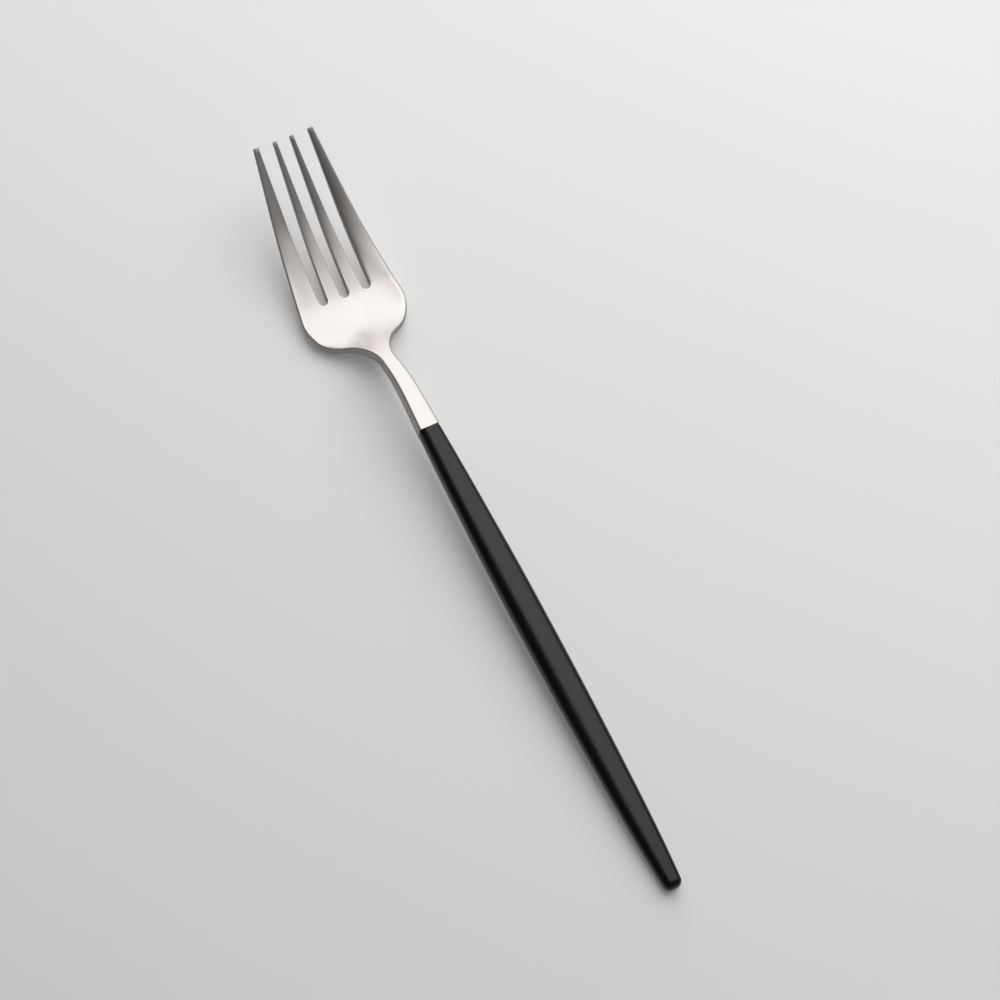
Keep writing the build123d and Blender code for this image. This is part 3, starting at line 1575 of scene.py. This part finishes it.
@dataclass
class Studio:
    """Pale floor, soft lamps and the camera of the photograph.

    Attributes:
        target: The point on the floor at the middle of the picture.
        tilt: The camera's angle from straight down, in degrees.
        heading: The picture's upward direction, as a turn in degrees.
        roll: The camera's roll in degrees.
        distance: From the camera to the target.
        lens: The camera's focal length.
        sensor: Width of the camera's sensor.
        clip_start: How near the camera sees, in metres.
        floor_span: Width of the floor in metres.
        floor_gap: How far the floor lies under the fork, in metres.
        world_colour: Colour of the dim fill from all round.
        softboxes: The lamps.
    """

    target: Triple = (1.937, -9.9, 0.0)
    tilt: float = 26.542
    heading: float = 51.897
    roll: float = -11.779
    distance: float = 784.033
    lens: float = 115.2
    sensor: float = 36.0
    clip_start: float = 0.01
    floor_span: float = 6.0
    floor_gap: float = 0.00002
    world_colour: Triple = (0.066, 0.065, 0.064)
    softboxes: tuple[Softbox, ...] = (
        Softbox(
            name="long_softbox",
            middle=(0.99, -0.70, 0.4327),
            lean=17.56,
            size=(2.54, 1.6),
            near_fade=0.083,
            left_fade=0.0625,
            right_drop=0.45,
            power=26.2,
        ),
        Softbox(
            name="near_softbox",
            middle=(-0.34, -0.62, 0.8536),
            lean=17.56,
            size=(0.336, 1.6),
            near_fade=0.05,
            left_fade=0.42,
            right_drop=0.0,
            power=1.35,
        ),
        Softbox(
            name="front_fill",
            middle=(-0.95, -0.30, 0.75),
            lean=-40.0,
            size=(1.2, 1.4),
            near_fade=0.01,
            left_fade=0.01,
            right_drop=0.0,
            power=0.15,
        ),
    )

    def add_camera(self) -> None:
        """Place the camera of the photograph."""
        heading, tilt, roll = (math.radians(angle) for angle in (self.heading, self.tilt, self.roll))
        right = Vector((-math.cos(heading), -math.sin(heading), 0))
        away = Vector((math.sin(heading), -math.cos(heading), 0))
        up = Vector((0, 0, 1))
        view = away * math.sin(tilt) - up * math.cos(tilt)
        head = away * math.cos(tilt) + up * math.sin(tilt)
        side = right * math.cos(roll) - head * math.sin(roll)
        top = right * math.sin(roll) + head * math.cos(roll)
        data = bpy.data.cameras.new("photo_camera")
        data.lens = self.lens
        data.sensor_width = self.sensor
        data.clip_start = self.clip_start
        camera = bpy.data.objects.new("photo_camera", data)
        place = (Vector(self.target) - view * self.distance) * MM
        turn = Matrix((side, top, -view)).transposed().to_4x4()
        camera.matrix_world = Matrix.Translation(place) @ turn
        bpy.context.scene.collection.objects.link(camera)
        bpy.context.scene.camera = camera

    def add_softbox(self, box: Softbox) -> None:
        """Hang one soft lamp over the fork, facing down.

        Args:
            box: The lamp.
        """
        data = bpy.data.lights.new(box.name, "AREA")
        data.shape = "RECTANGLE"
        data.size, data.size_y = box.size
        data.energy = box.power
        self.fade_lamp(data, box)
        lamp = bpy.data.objects.new(box.name, data)
        lean = Matrix.Rotation(math.radians(box.lean), 4, "Y")
        lamp.matrix_world = Matrix.Translation(Vector(box.middle)) @ lean
        bpy.context.scene.collection.objects.link(lamp)

    @staticmethod
    def fade_lamp(data: bpy.types.Light, box: Softbox) -> None:
        """Let a lamp's light fade towards its near end and its left side.

        Args:
            data: The lamp.
            box: How far it fades.
        """
        data.use_nodes = True
        data.node_tree.nodes.clear()
        book = NodeBook(data.node_tree)
        face = book.add("ShaderNodeTexCoord").outputs["UV"]
        parts = book.add("ShaderNodeSeparateXYZ", None, {0: face})
        along = (Value(book, parts.outputs["X"]) / box.near_fade).apply("MINIMUM", 1.0)
        from_left = 1 - Value(book, parts.outputs["Y"])
        across = (from_left / box.left_fade).apply("MINIMUM", 1.0) * (1 - box.right_drop * from_left)
        glow = book.add("ShaderNodeEmission", None, {"Strength": along * across})
        book.add("ShaderNodeOutputLight", None, {"Surface": glow.outputs[0]})

    def add_world(self) -> None:
        """Set a dim even fill from all round."""
        world = bpy.data.worlds.new("dim_room")
        world.use_nodes = True
        world.node_tree.nodes.clear()
        book = NodeBook(world.node_tree)
        fill = book.add("ShaderNodeBackground", None, {"Color": (*self.world_colour, 1), "Strength": 1.0})
        book.add("ShaderNodeOutputWorld", None, {"Surface": fill.outputs[0]})
        bpy.context.scene.world = world

    def add_floor(self, finish: bpy.types.Material) -> None:
        """Lay the pale floor.

        Args:
            finish: The floor's material.
        """
        half = self.floor_span / 2
        plan = ((-half, -half), (half, -half), (half, half), (-half, half))
        mesh = bpy.data.meshes.new("floor")
        mesh.from_pydata([(x, y, -self.floor_gap) for x, y in plan], [], [(0, 1, 2, 3)])
        mesh.materials.append(finish)
        floor = bpy.data.objects.new("floor", mesh)
        bpy.context.scene.collection.objects.link(floor)

    def make(self, finish: bpy.types.Material) -> None:
        """Set up the studio.

        Args:
            finish: The floor's material.
        """
        self.add_floor(finish)
        for box in self.softboxes:
            self.add_softbox(box)
        self.add_world()
        self.add_camera()
        bpy.context.scene.view_settings.view_transform = "Standard"


def dress_node(node: bpy.types.Object, finish: bpy.types.Material) -> None:
    """Give a carried-over node its finish.

    Args:
        node: The node's object.
        finish: The material.
    """
    if not node.material_slots:
        node.data.materials.append(finish)
    for slot in node.material_slots:
        slot.material = finish
    LOG.info("%s: kept, finish %s", node.name, finish.name)


def main() -> None:
    """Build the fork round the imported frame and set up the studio."""
    logging.basicConfig(level=logging.INFO, format="%(name)s: %(message)s")
    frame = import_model()
    head = SteelHead()
    head.make(SatinSteel().make())
    handle = ResinHandle(collar_middle=head.collar_middle)
    handle.make(SatinResin().make())
    dress_node(frame["nodes"]["tang_adhesive"], SetEpoxy().make())
    Studio().make(PaleFloor().make())
    LOG.info("fork finished")


if __name__ == "__main__":
    main()
